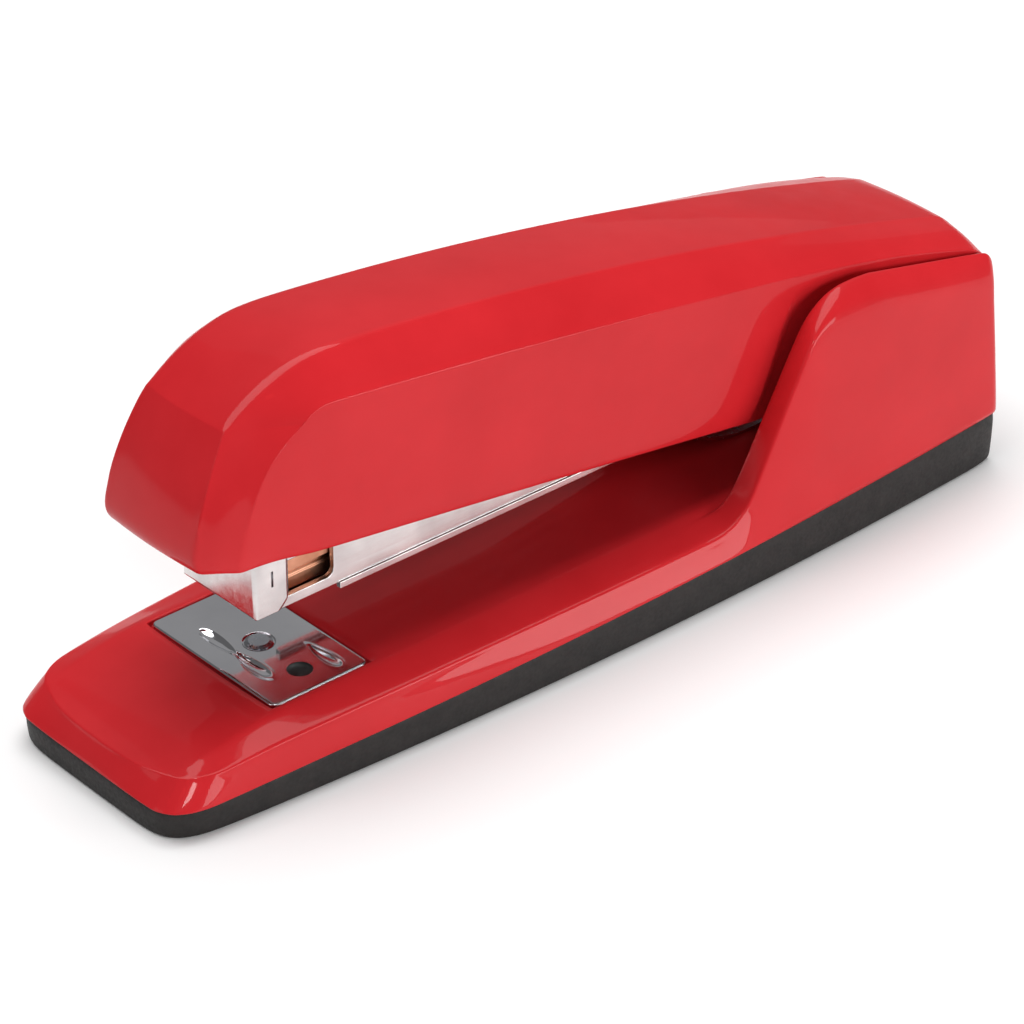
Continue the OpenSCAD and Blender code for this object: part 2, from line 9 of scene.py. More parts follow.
import bmesh
import bpy
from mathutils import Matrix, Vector


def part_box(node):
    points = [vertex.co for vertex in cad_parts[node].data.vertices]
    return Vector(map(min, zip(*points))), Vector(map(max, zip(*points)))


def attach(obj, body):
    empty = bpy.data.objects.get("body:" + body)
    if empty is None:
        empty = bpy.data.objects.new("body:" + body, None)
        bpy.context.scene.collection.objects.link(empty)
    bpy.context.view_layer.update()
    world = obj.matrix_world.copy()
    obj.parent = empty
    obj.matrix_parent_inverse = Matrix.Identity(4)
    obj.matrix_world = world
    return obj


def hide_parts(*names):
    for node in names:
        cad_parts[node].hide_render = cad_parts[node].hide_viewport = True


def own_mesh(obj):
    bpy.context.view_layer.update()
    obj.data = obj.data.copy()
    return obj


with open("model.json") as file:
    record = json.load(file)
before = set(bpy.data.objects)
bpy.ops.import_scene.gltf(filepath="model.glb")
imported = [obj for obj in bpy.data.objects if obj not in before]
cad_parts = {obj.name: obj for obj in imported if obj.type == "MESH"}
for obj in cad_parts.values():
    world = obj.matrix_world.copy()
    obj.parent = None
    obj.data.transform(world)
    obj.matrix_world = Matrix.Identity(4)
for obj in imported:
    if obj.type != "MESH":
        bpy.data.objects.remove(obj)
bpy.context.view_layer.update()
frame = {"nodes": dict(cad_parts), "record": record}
nodes = frame["nodes"]
MM = 0.001


def span(node):
    """Lowest and highest corner of a CAD node, in millimetres."""
    low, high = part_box(node)
    return low / MM, high / MM


# ---------------------------------------------------------------- driving sizes
base_low, base_high = span("base_casting")
plate_low, plate_high = span("anvil_plate")

# base, seen from above and from the side
HALF_LEN = (base_high.x - base_low.x) / 2
BASE_HALF = 26.5
BOW_R = 1090.0
WIDEST_X = 18.75
FRONT_CORNER_R = 7.0
REAR_CORNER_R = 2.0
DECK_Z = 12.9
PLATEAU_HALF = 17.0
FRONT_CREASE_X = -85.5
FRONT_CREASE_Z = 9.2
FRONT_BULGE = 2.2
WELL_X = 59.5
WELL_Z = 11.0
PAD_FRONT_T = 5.1
PAD_REAR_T = 9.8

# side view of the flanks: inner top edge, and the crease on the outer face
FLANK_IN = 18.4
FLANK_FOOT = (27.8, 12.6)
FLANK_CORNERS = [(46.6, 46.2), (57.5, 46.3), (90.3, 39.2)]
FLANK_RADII = [12.0, 35.0, 3.5]
CREASE_FOOT = (26.4, 11.9)
CREASE_CORNERS = [(43.2, 43.4), (57.5, 43.0), (90.1, 34.8)]
CREASE_RADII = [7.0, 35.0, 3.5]

# cover: front face, brow behind it, facet beside it, and the side wall
CREST_HALF = 9.5
CREST_Z = 67.9
CREST_SLOPE = 0.075
CREST_CURVE = 0.0007
SHOULDER_Z = 61.75
SHOULDER_SLOPE = 0.095
SHOULDER_CURVE = 0.0003
SHOULDER_DROP = 0.0022
SHOULDER_DROP_X = 55
SHOULDER_MID_HALF = 16.2
SHOULDER_FLARE = 0.02
BOW_START_X = -55
LOWER_MID_Z = 29.04
LOWER_SLOPE = 0.125
FRONT_FOOT = (-76.6, 38.3)
FRONT_CREASE = (-67.85, 60.0)
FRONT_R = 56.0
BROW_END = (-49.0, 67.4)
BROW_R = 30.0
FACET_FOOT = (-70.8, 38.0)
FACET_TOP = (-59.4, 61.9)
FACET_R = 60.0
WALL_CORNER_R = 8.0
BAND_WIDTH = 3.0
BAND_HALF = 16.2
COVER_WALL = 1.4
# posts under the cover, and the slot in the nose sleeve's side, shown by a patch of painted shade
BOSS_R = 3.0
HINGE_X = 74.0
LINER_ROOF_Z = 43.0
LINER_SLOPE = 0.1246
SLOT_X = (-59.8, -59.4)
SLOT_Z = (29.2, 32.0)
# rolled rear end
ROLL_START = 86.0
ROLL_END = 91.0
ROLL_END_Z = 37.4
CURL_Z = 36.2
CURL_SLOPE = 1.3
# hole for the anvil's button and post
BUTTON_GAP = 0.6
POST_BORE_R = 1.55
SPRING_GAP = 0.1
CUT_PAST = 1.0
BORE_MARGIN = 0.1
BORE_EDGE_ANGLE = math.radians(34)
# springs: turns, wire radius, and travel of the joint that shortens them
ANVIL_COIL = (4, 0.3, 2.2)
PUSHER_COIL = (44, 0.25, 80.0)
COIL_STEPS = 16
COIL_SIDES = 8


# ---------------------------------------------------------------- small geometry helpers
def mix(a, b, t):
    """Value at share t of the way from a to b."""
    return a + (b - a) * t


def clamp(v, low=0.0, high=1.0):
    return max(low, min(high, v))


def smooth(t):
    """Eased step from 0 to 1."""
    t = clamp(t)
    return t * t * (3 - 2 * t)


def arc_point(p, q, radius, t):
    """Point at share t of the arc of that radius from p to q, bulging to the left of the way."""
    chord = Vector((q[0] - p[0], q[1] - p[1]))
    left = Vector((-chord.y, chord.x)).normalized()
    reach = math.sqrt(radius ** 2 - (chord.length / 2) ** 2)
    centre = Vector((p[0] + q[0], p[1] + q[1])) / 2 - left * reach
    start = math.atan2(p[1] - centre.y, p[0] - centre.x)
    sweep = 2 * math.asin(chord.length / 2 / radius)
    angle = start - sweep * t
    return centre.x + radius * math.cos(angle), centre.y + radius * math.sin(angle)


def arc_x_at(p, q, radius, z):
    """x of that arc at a height, for an arc that rises from p to q."""
    low, high = 0.0, 1.0
    for _ in range(30):
        t = (low + high) / 2
        if arc_point(p, q, radius, t)[1] < z:
            low = t
        else:
            high = t
    return arc_point(p, q, radius, (low + high) / 2)[0]


def rounded_path(start, corners, radii, end, steps):
    """Points from start to end past the corners, each corner rounded with its radius."""
    stops = [Vector(start)] + [Vector(c) for c in corners] + [Vector(end)]
    path = [stops[0]]
    for before, corner, after, radius in zip(stops, stops[1:], stops[2:], radii):
        to_before = (before - corner).normalized()
        to_after = (after - corner).normalized()
        half = math.acos(clamp(to_before.dot(to_after), -1, 1)) / 2
        reach = radius / math.tan(half)
        centre = corner + (to_before + to_after).normalized() * (radius / math.sin(half))
        first = corner + to_before * reach - centre
        last = corner + to_after * reach - centre
        turn = first.angle_signed(last)
        for i in range(steps + 1):
            angle = -turn * i / steps
            spun = Vector((
                first.x * math.cos(angle) - first.y * math.sin(angle),
                first.x * math.sin(angle) + first.y * math.cos(angle),
            ))
            path.append(centre + spun)
    path.append(stops[-1])
    return [(p.x, p.y) for p in path]


def half_at(x):
    """Half width of the base at its lower edge."""
    return BASE_HALF - (x - WIDEST_X) ** 2 / (2 * BOW_R)


def crease_half_at(x):
    """Half width of the base at the crease along its side."""
    return half_at(x) - clamp(2.25 + 0.0145 * x, 0.8, 2.2)


def joint_z_at(x):
    """Height of the sloping joint between pad and casting."""
    return mix(PAD_FRONT_T, PAD_REAR_T, (x + HALF_LEN) / (2 * HALF_LEN))


def crease_z_at(x):
    """Height of the crease along the base's side, in front of the flanks."""
    return 11.8 - 0.5 * smooth((-20 - x) / 40) - 0.6 * smooth((-50 - x) / 25)


def crest_at(x):
    """Height of the crest: a shallow parabola along the stapler."""
    run = x - BOW_START_X
    return CREST_Z - CREST_SLOPE * run - CREST_CURVE * run ** 2


def shoulder_at(x):
    """Height of the shoulder edge, which drops faster near the rear end."""
    run = x - BOW_START_X
    drop = SHOULDER_DROP * max(x - SHOULDER_DROP_X, 0) ** 2
    return SHOULDER_Z - SHOULDER_SLOPE * run - SHOULDER_CURVE * run ** 2 - drop


def shoulder_half_at(x):
    """Half width of the cover at its shoulder edge."""
    return SHOULDER_MID_HALF + SHOULDER_FLARE * x


def lower_at(x):
    """Height of the cover's lower edge."""
    return LOWER_MID_Z - LOWER_SLOPE * x


def curl_at(x):
    """Lowest height of the cover between the flanks, rising to its rolled rear end."""
    return CURL_Z - CURL_SLOPE * (ROLL_END - x)


def disc_corner(p, q):
    """Maps the corner square, p and q from 0 to 1, onto a quarter disc."""
    p, q = clamp(p), clamp(q)
    return p * math.sqrt(1 - q * q / 2), q * math.sqrt(1 - p * p / 2)


# ---------------------------------------------------------------- mesh helpers
class Mesh:
    """Vertices and faces in millimetres, filled in by the pieces below."""

    def __init__(self):
        self.vertices = []
        self.faces = []
        self.weights = {}

    def add(self, x, y, z, weight=1.0):
        self.vertices.append((x, y, z))
        self.weights[len(self.vertices) - 1] = weight
        return len(self.vertices) - 1

    def quads(self, rows, flip=False):
        """Fills a grid of vertex numbers with four-sided faces."""
        for near, far in zip(rows, rows[1:]):
            for a, b, c, d in zip(near, near[1:], far[1:], far):
                face = []
                for v in (a, b, c, d):
                    if v not in face:
                        face.append(v)
                if len(face) > 2:
                    self.faces.append(face[::-1] if flip else face)


def link(name, mesh_data, material, body, slot, *replaced):
    """Adds a finished object to the scene and ties it to its CAD body."""
    piece = bpy.data.objects.new(name, mesh_data)
    bpy.context.scene.collection.objects.link(piece)
    piece.data.materials.append(material)
    for polygon in piece.data.polygons:
        polygon.use_smooth = True
    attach(piece, body)
    if replaced:
        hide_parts(*replaced)
    return piece


def mesh_data(name, mesh, sharp=None):
    """Blender mesh from a Mesh, in metres; sharp maps a pair of vertices to its crease."""
    data = bpy.data.meshes.new(name)
    data.from_pydata([Vector(v) * MM for v in mesh.vertices], [], mesh.faces)
    work = bmesh.new()
    work.from_mesh(data)
    if sharp:
        layer = work.edges.layers.float.new("crease_edge")
        for edge in work.edges:
            key = tuple(sorted(v.index for v in edge.verts))
            if key in sharp:
                edge[layer] = sharp[key]
    bmesh.ops.recalc_face_normals(work, faces=work.faces)
    work.to_mesh(data)
    work.free()
    return data


def drop_loose(data):
    """Removes vertices that no face uses."""
    work = bmesh.new()
    work.from_mesh(data)
    bmesh.ops.delete(work, geom=[v for v in work.verts if not v.link_faces], context="VERTS")
    work.to_mesh(data)
    work.free()


def subdivide(piece, levels):
    modifier = piece.modifiers.new("smooth", "SUBSURF")
    modifier.levels = levels
    modifier.render_levels = levels
    return modifier


# ---------------------------------------------------------------- materials
def blank(name):
    material = bpy.data.materials.new(name)
    material.use_nodes = True
    tree = material.node_tree
    return material, tree, tree.nodes["Principled BSDF"]


def node(tree, kind, **inputs):
    """A shader node; inputs are given by socket name with _ for a space."""
    made = tree.nodes.new(kind)
    for key, value in inputs.items():
        made.inputs[key.replace("_", " ")].default_value = value
    return made


def noise(tree, scale, stretch=(1, 1, 1), detail=4.0, roughness=0.55):
    """Noise over the object in metres; stretch scales it along each axis."""
    place = tree.nodes.new("ShaderNodeTexCoord")
    mapping = tree.nodes.new("ShaderNodeMapping")
    mapping.inputs["Scale"].default_value = stretch
    tree.links.new(place.outputs["Object"], mapping.inputs["Vector"])
    made = node(tree, "ShaderNodeTexNoise", Scale=scale, Detail=detail, Roughness=roughness)
    tree.links.new(mapping.outputs["Vector"], made.inputs["Vector"])
    return made.outputs["Fac"]


def ramp(tree, source, low, high, colour_low, colour_high):
    """Colour that goes from one to the other as the source goes from low to high."""
    made = tree.nodes.new("ShaderNodeValToRGB")
    made.color_ramp.elements[0].position = low
    made.color_ramp.elements[1].position = high
    made.color_ramp.elements[0].color = (*colour_low, 1)
    made.color_ramp.elements[1].color = (*colour_high, 1)
    tree.links.new(source, made.inputs["Fac"])
    return made.outputs["Color"]


def value_range(tree, source, to_low, to_high, from_low=0.3, from_high=0.7):
    made = tree.nodes.new("ShaderNodeMapRange")
    made.inputs["From Min"].default_value = from_low
    made.inputs["From Max"].default_value = from_high
    made.inputs["To Min"].default_value = to_low
    made.inputs["To Max"].default_value = to_high
    tree.links.new(source, made.inputs["Value"])
    return made.outputs["Result"]


def bump(tree, source, strength, distance, below=None):
    made = node(tree, "ShaderNodeBump", Strength=strength, Distance=distance)
    tree.links.new(source, made.inputs["Height"])
    if below is not None:
        tree.links.new(below, made.inputs["Normal"])
    return made.outputs["Normal"]


def edge_wear(tree, colour, worn, amount=0.35):
    """Mixes a worn colour in along convex edges."""
    geometry = tree.nodes.new("ShaderNodeNewGeometry")
    share = value_range(tree, geometry.outputs["Pointiness"], 0.0, amount, 0.53, 0.60)
    made = tree.nodes.new("ShaderNodeMix")
    made.data_type = "RGBA"
    tree.links.new(share, made.inputs["Factor"])
    tree.links.new(colour, made.inputs["A"])
    made.inputs["B"].default_value = (*worn, 1)
    return made.outputs["Result"]


def red_lacquer():
    material, tree, shader = blank("red_lacquer")
    tone = ramp(tree, noise(tree, 45), 0.35, 0.7, (0.53, 0.015, 0.020), (0.59, 0.019, 0.025))
    tree.links.new(edge_wear(tree, tone, (0.72, 0.03, 0.03), 0.15), shader.inputs["Base Color"])
    rough = value_range(tree, noise(tree, 120, detail=2), 0.30, 0.40)
    tree.links.new(rough, shader.inputs["Roughness"])
    orange_peel = bump(tree, noise(tree, 300, detail=1), 0.02, 0.0002)
    tree.links.new(orange_peel, shader.inputs["Normal"])
    shader.inputs["Specular IOR Level"].default_value = 0.05
    shader.inputs["Coat Weight"].default_value = 0.3
    shader.inputs["Coat Roughness"].default_value = 0.03
    shader.inputs["Coat IOR"].default_value = 1.52
    return material


def black_pad():
    material, tree, shader = blank("black_pad")
    tone = ramp(tree, noise(tree, 300, detail=8), 0.35, 0.75,
                (0.013, 0.011, 0.0105), (0.024, 0.020, 0.019))
    tree.links.new(edge_wear(tree, tone, (0.06, 0.053, 0.05), 0.3), shader.inputs["Base Color"])
    shader.inputs["Specular IOR Level"].default_value = 0.3
    rough = value_range(tree, noise(tree, 1500, detail=3), 0.48, 0.68)
    tree.links.new(rough, shader.inputs["Roughness"])
    coarse = bump(tree, noise(tree, 700, detail=4), 0.12, 0.0003)
    tree.links.new(bump(tree, noise(tree, 3500, detail=2), 0.2, 0.0001, coarse), shader.inputs["Normal"])
    return material


def metal(name, dark, light, rough, grain=(1, 1, 1), grain_scale=900, relief=0.04, patch=60):
    """Bare or plated metal: patchy tone, streaked roughness and a fine grain."""
    material, tree, shader = blank(name)
    tree.links.new(
        edge_wear(tree, ramp(tree, noise(tree, patch, detail=6), 0.35, 0.7, dark, light), light, 0.5),
        shader.inputs["Base Color"])
    shader.inputs["Metallic"].default_value = 1.0
    streaks = noise(tree, grain_scale, grain, detail=6, roughness=0.65)
    tree.links.new(value_range(tree, streaks, rough[0], rough[1]), shader.inputs["Roughness"])
    tree.links.new(bump(tree, streaks, relief, 0.0001), shader.inputs["Normal"])
    return material


def staple_wire():
    """Wire staples glued in a strip: one ridge for each wire, and painted shade darkening the grooves
    between the wires.
    """
    material, tree, shader = blank("staple_wire")
    shader.inputs["Metallic"].default_value = 1.0
    place = tree.nodes.new("ShaderNodeTexCoord")
    wave = tree.nodes.new("ShaderNodeTexWave")
    wave.bands_direction = "X"
    wave.inputs["Scale"].default_value = 2 * math.pi / 20 / 0.00055
    wave.inputs["Distortion"].default_value = 0.0
    tree.links.new(place.outputs["Object"], wave.inputs["Vector"])
    # the dark end of this ramp is painted shade in the grooves between the wires
    tone = ramp(tree, wave.outputs["Fac"], 0.05, 0.6, (0.16, 0.16, 0.16), (0.66, 0.67, 0.68))
    tree.links.new(tone, shader.inputs["Base Color"])
    tree.links.new(value_range(tree, noise(tree, 800), 0.2, 0.38), shader.inputs["Roughness"])
    tree.links.new(bump(tree, wave.outputs["Fac"], 0.6, 0.0002), shader.inputs["Normal"])
    return material


def black_button():
    material, tree, shader = blank("black_button")
    tone = ramp(tree, noise(tree, 500), 0.3, 0.7, (0.03, 0.03, 0.03), (0.05, 0.05, 0.05))
    tree.links.new(tone, shader.inputs["Base Color"])
    tree.links.new(value_range(tree, noise(tree, 1200), 0.4, 0.6), shader.inputs["Roughness"])
    tree.links.new(bump(tree, noise(tree, 2500), 0.1, 0.0001), shader.inputs["Normal"])
    return material


along_x = (0.06, 1, 1)
MATERIALS = {
    "red_lacquer": red_lacquer(),
    "black_pad": black_pad(),
    "zinc_steel": metal("zinc_steel", (0.50, 0.50, 0.52), (0.66, 0.66, 0.68), (0.22, 0.36), along_x),
    "dark_steel": metal("dark_steel", (0.10, 0.10, 0.11), (0.20, 0.20, 0.21), (0.30, 0.48)),
    "spring_steel": metal("spring_steel", (0.44, 0.46, 0.50), (0.60, 0.62, 0.66), (0.16, 0.30)),
    "chrome_plate": metal("chrome_plate", (0.62, 0.62, 0.65), (0.70, 0.70, 0.73), (0.05, 0.09),
                          (1, 0.08, 1), 1400, 0.012),
    "nickel_steel": metal("nickel_steel", (0.56, 0.53, 0.53), (0.80, 0.77, 0.76), (0.14, 0.26),
                          along_x, 900, 0.05, 140),
    "copper_rail": metal("copper_rail", (0.50, 0.21, 0.12), (0.78, 0.40, 0.26), (0.26, 0.42),
                         along_x, 1200, 0.10, 180),
    "staple_wire": staple_wire(),
    "black_button": black_button(),
}
for part in frame["record"]["subparts"]:
    surface = nodes[part["node"]].data
    surface.materials.clear()
    surface.materials.append(MATERIALS[part["material_slot"]])


# ---------------------------------------------------------------- cover
WALL_SHARES = [0, 0.05, 0.12, 0.30, 0.50, 0.70, 0.87, 0.965, 1]
LIP_ROW = 2
LAST_ROW = len(WALL_SHARES) - 1
CREST_STATIONS = [-45.5, -38, -28, -16, -4, 8, 19, 29, 37, 43.4, 44.5]
FLAT_STATIONS = [48, 53, 59, 66, 73, 79, ROLL_START]
ROLL_ANGLES = [20, 40, 60, 78, 90]
BROW_SHARES = [0.92, 0.72, 0.5, 0.28, 0.1]
BROW_SHOULDER_X = [-57.6, -55.2, -52.8, -50.6, -48.2]


def recess_line_x(z):
    """x of the wall's rear edge, in front of the flank."""
    up = z - 24.7
    return 34.3 + 0.54 * up - 0.0058 * up * up


def front_face_half(share):
    """Half width of the front face, which swells a little below its top edge."""
    return 9.5 + 1.7 * math.sin(share * 1.9) ** 0.8 if share > 0 else 9.5


def tuck(share):
    """How far the cover turns in along its lower edge."""
    return 2.0 * clamp((share - 0.86) / 0.14) ** 2


def rear_share(x):
    """0 where the wall steps in ahead of the flank, 1 where it runs straight down behind it."""
    return smooth((x - 48) / 12)


def rear_point(x, angle, y, z, end_z):
    """A point of the cover behind the flank's front, bent round the rear roll by the angle."""
    pull = 1.0 * math.sin(angle) * (y / 18) ** 6
    return x - pull, y, mix(end_z, z, math.cos(angle))


def strip_row(mesh, crest, crest_half, edge, shoulder_vertex, bulge, weight_edge=1.0):
    """Vertices from the middle to the shoulder: crest strip, crest edge and crown."""
    xs, ys, zs = mesh.vertices[shoulder_vertex]
    xc, zc = crest
    length = math.dist((xc, crest_half, zc), (xs, ys, zs))
    row = [
        mesh.add(xc - bulge[0], 0, zc + bulge[1]),
        mesh.add(xc - bulge[0] * 0.6, crest_half * 0.55, zc + bulge[1] * 0.6),
        mesh.add(xc, crest_half - edge, zc),
        mesh.add(xc, crest_half, zc),
    ]
    for share, lift in ((edge / length, 0), (0.5, 1), (1 - 1.0 / length, 0)):
        row.append(mesh.add(
            mix(xc, xs, share) - 0.5 * lift * bulge[0],
            mix(crest_half, ys, share) + 0.15 * lift,
            mix(zc, zs, share) + lift * (0.25 + 0.5 * bulge[1]),
            1.0 if share < 0.6 else weight_edge))
    return row + [shoulder_vertex]


def wall_point(column, columns, share):
    """Where the wall's grid point lies; its top front corner is rounded."""
    first, last = columns[0], columns[-1]
    s = (columns[column] - first) / (last - first)
    x_low = mix(FACET_FOOT[0], recess_line_x(lower_at(34)), s)
    z_top = FACET_TOP[1] if column == 0 else shoulder_at(columns[column])
    z_low = mix(FACET_FOOT[1], lower_at(x_low), clamp(s * 8))
    z = mix(z_top, z_low, share)
    x_left = arc_x_at(FACET_FOOT, FACET_TOP, FACET_R, clamp(z, FACET_FOOT[1], FACET_TOP[1]))
    x_right = last if share < WALL_SHARES[LIP_ROW] else recess_line_x(z)
    if share == WALL_SHARES[LIP_ROW]:
        x_right = last - 0.3
    x = mix(x_left, x_right, s)
    p = 1 - (x - x_left) / WALL_CORNER_R
    q = 1 - (z_top - z) / WALL_CORNER_R
    if p > 0 and q > 0:
        p_disc, q_disc = disc_corner(p, q)
        x += (p - p_disc) * WALL_CORNER_R
        z -= (q - q_disc) * WALL_CORNER_R
    y = shoulder_half_at(x) + 0.6 * share - 0.45 * tuck(share)
    x += tuck(share) * 0.8 * clamp(1 - 6 * s)
    return x, y, z


def build_cover():
    mesh = Mesh()
    columns = [FACET_TOP[0]] + BROW_SHOULDER_X + CREST_STATIONS
    wall = [[mesh.add(*wall_point(i, columns, share)) for i in range(len(columns))]
            for share in WALL_SHARES]
    # lip over the flank's top, and round the rear end
    rear = [(x, 0.0) for x in FLAT_STATIONS]
    rear += [(mix(ROLL_START, ROLL_END, math.sin(math.radians(a))), math.radians(a))
             for a in ROLL_ANGLES]
    lip = [[line[-1]] for line in wall[:LIP_ROW + 1]]
    for x, angle in rear:
        z_top = shoulder_at(x)
        z_low = z_top - mix(1.7, 0.3, clamp((x - 48) / 18))
        y = shoulder_half_at(x)
        for row, share in enumerate((0, 0.5, 1)):
            z = mix(z_top, z_low, share)
            place = rear_point(x, angle, y + 0.1 * share, z, ROLL_END_Z - 0.25 * share)
            lip[row].append(mesh.add(*place, 0.25))
    # band that steps in from the wall's edge, and the wall between the flanks
    edge = [wall[row][-1] for row in range(LAST_ROW, LIP_ROW, -1)] + lip[LIP_ROW]
    rows_below = LAST_ROW - LIP_ROW
    inward = []
    for reach in (0.5, 1.0):
        loop = []
        for i, v in enumerate(edge):
            x, y, z = mesh.vertices[v]
            if i < rows_below:
                way = (0.88, -0.47)
            elif i == rows_below:
                way = (0.6, -0.8)
            else:
                way = (0.0, -1.0)
            width = reach * mix(BAND_WIDTH, 0.8, rear_share(x))
            if i > rows_below:
                width = min(width, 0.5 * max(z - curl_at(x), 0.4))
            inset = reach * mix(y - BAND_HALF, 0.05, rear_share(x))
            x_new = x + way[0] * width
            z_new = z + way[1] * width
            if i < rows_below:
                z_new = max(z_new, lower_at(x_new))
            loop.append(mesh.add(x_new, y - inset, z_new, 0.25))
        inward.append(loop)
    mesh.quads([edge, *inward])
    inner_edge = inward[-1]
    between = [inner_edge[rows_below:]]
    for step in range(1, rows_below + 1):
        line = [inner_edge[rows_below - step]]
        for v in inner_edge[rows_below + 1:]:
            x, y, z = mesh.vertices[v]
            z_low = max(lower_at(x), curl_at(x))
            line.append(mesh.add(x, y, mix(z, min(z_low, z - 0.4), step / rows_below), 0.3))
        between.append(line)
    mesh.quads(wall)
    mesh.quads(lip)
    mesh.quads(between)
    # top strip: front face, brow, crest and rear end
    rows = []
    for row in range(LAST_ROW, -1, -1):
        share = WALL_SHARES[row]
        z = mix(FRONT_CREASE[1], FRONT_FOOT[1], share)
        x = arc_x_at(FRONT_FOOT, FRONT_CREASE, FRONT_R, z) + 1.1 * tuck(share)
        rows.append(strip_row(mesh, (x, z), front_face_half(share), 1.2, wall[row][0], (0.5, 0)))
    sharp = {}

    def crease(line, amount):
        for a, b in zip(line, line[1:]):
            sharp[tuple(sorted((a, b)))] = amount

    crease(rows[-1], 0.8)
    crease([row[3] for row in rows[3:]], 0.5)
    crease([line[0] for line in wall[:-3]], 0.45)
    crease(wall[0], 0.45)
    crease(edge[:rows_below + 1], 0.6)
    for i, share in enumerate(BROW_SHARES):
        crest = arc_point(FRONT_CREASE, BROW_END, BROW_R, 1 - share)
        soft = mix(2.4, 1.6, i / 4)
        rows.append(strip_row(mesh, crest, CREST_HALF, soft, wall[0][1 + i], (0, 0.25)))
    for i, x in enumerate(CREST_STATIONS):
        edge_width = mix(1.5, 0.8, clamp(i / 3))
        shoulder_vertex = wall[0][len(columns) - len(CREST_STATIONS) + i]
        rows.append(strip_row(mesh, (x, crest_at(x)), CREST_HALF, edge_width, shoulder_vertex, (0, 0.3)))
    for i, (x, angle) in enumerate(rear):
        crest = (x, mix(ROLL_END_Z, crest_at(x), math.cos(angle)))
        lift = 0.3 * math.cos(angle)
        bulge = (-0.3 * math.sin(angle), lift)
        rows.append(strip_row(mesh, crest, CREST_HALF, 0.8, lip[0][1 + i], bulge, 0.25))
    rear_edge = [lip[1][-1], lip[2][-1], inward[0][-1], inward[1][-1]]
    rear_edge += [line[-1] for line in between[1:]]
    for v in rear_edge:
        z = mesh.vertices[v][2]
        rows.append(strip_row(mesh, (ROLL_END, z), CREST_HALF, 0.8, v, (-0.3, 0), 0.25))
    mesh.quads(rows)
    data = mesh_data("cover_shell_visual", mesh, sharp)
    cover = link("cover_shell_visual", data, MATERIALS["red_lacquer"], "cover", "red_lacquer",
                 "cover_shell")
    group = cover.vertex_groups.new(name="thickness")
    for v, weight in mesh.weights.items():
        group.add([v], weight, "REPLACE")
    mirror = cover.modifiers.new("mirror", "MIRROR")
    mirror.use_axis = (False, True, False)
    mirror.use_clip = True
    mirror.merge_threshold = 0.00001
    wall_modifier = cover.modifiers.new("wall", "SOLIDIFY")
    wall_modifier.thickness = COVER_WALL * MM
    wall_modifier.offset = -1
    wall_modifier.vertex_group = "thickness"
    wall_modifier.thickness_vertex_group = 0.0
    subdivide(cover, 3)
    return cover


# ---------------------------------------------------------------- base
RECESS_GAP = 0.35
recess_x = (plate_low.x - RECESS_GAP, plate_high.x + RECESS_GAP)
recess_y = plate_high.y + RECESS_GAP
FRONT_STATIONS = [FRONT_CREASE_X, -84.4, -83, -81.2, -79, -76, -70, recess_x[0], -60, -52,
                  recess_x[1], -38, -28, -16, -4, 8, 17]
TOP_STATIONS = [59.2, 59.9, 66, 73, 80]
ROWS_Y = [0, 6, 11, recess_y, PLATEAU_HALF, FLANK_IN]
FLANK_SHARES = [0.0, 0.2, 0.55, 1.0]
HALF_ROWS = len(ROWS_Y) + 1 + len(FLANK_SHARES)
REAR_TOP_X = HALF_LEN - 0.35
# share of the way down from the crease, and how far the side is drawn in there
SIDE_LEVELS = [(0.09, 0.25), (0.45, 0.12), (0.9, 0.02), (1.0, 0.12)]


def deck_z_at(x, y):
    """Height of the deck: flat in the middle, falling to its side creases and to the nose."""
    side = clamp((abs(y) - PLATEAU_HALF) / (crease_half_at(x) - PLATEAU_HALF))
    front = clamp((-66 - x) / (-66 - FRONT_CREASE_X))
    level = mix(DECK_Z, crease_z_at(x), side)
    return mix(level, FRONT_CREASE_Z, front ** 1.7)


def round_corner(x, y, front, rear, half_of):
    """Moves a point of the plan's corner squares onto the rounded corners."""
    for end, facing, radius in ((front, -1, FRONT_CORNER_R), (rear, 1, REAR_CORNER_R)):
        start = end - facing * radius
        half = half_of(start)
        p = (x - start) * facing / radius
        q = (y - (half - radius)) / radius
        if p > 0 and q > 0:
            p, q = disc_corner(p, q)
            return start + facing * radius * p, half - radius + radius * q
    return x, y


def flank_paths():
    """Side views of the flank's inner top edge and of the crease on its outer face."""
    inner = rounded_path(
        (19.0, 12.6), [FLANK_FOOT, *FLANK_CORNERS], [9.0, *FLANK_RADII], (90.3, 30.0), 4)
    outer = rounded_path(
        (19.0, 11.8), [CREASE_FOOT, *CREASE_CORNERS], [9.0, *CREASE_RADII], (90.1, 30.0), 4)
    pairs = list(zip(inner, outer))
    foot, corner, rear = pairs[1:6], pairs[6:11], pairs[16:21]
    slope = [tuple((mix(a[0], b[0], s), mix(a[1], b[1], s)) for a, b in zip(foot[-1], corner[0]))
             for s in (0.25, 0.5, 0.75)]
    top = []
    for x in TOP_STATIONS:
        share = (x - FLANK_CORNERS[1][0]) / (FLANK_CORNERS[2][0] - FLANK_CORNERS[1][0])
        top.append(((x, mix(FLANK_CORNERS[1][1], FLANK_CORNERS[2][1], share)),
                    (x, mix(CREASE_CORNERS[1][1], CREASE_CORNERS[2][1], share))))
    return foot + slope + corner + [pairs[13]] + top + rear


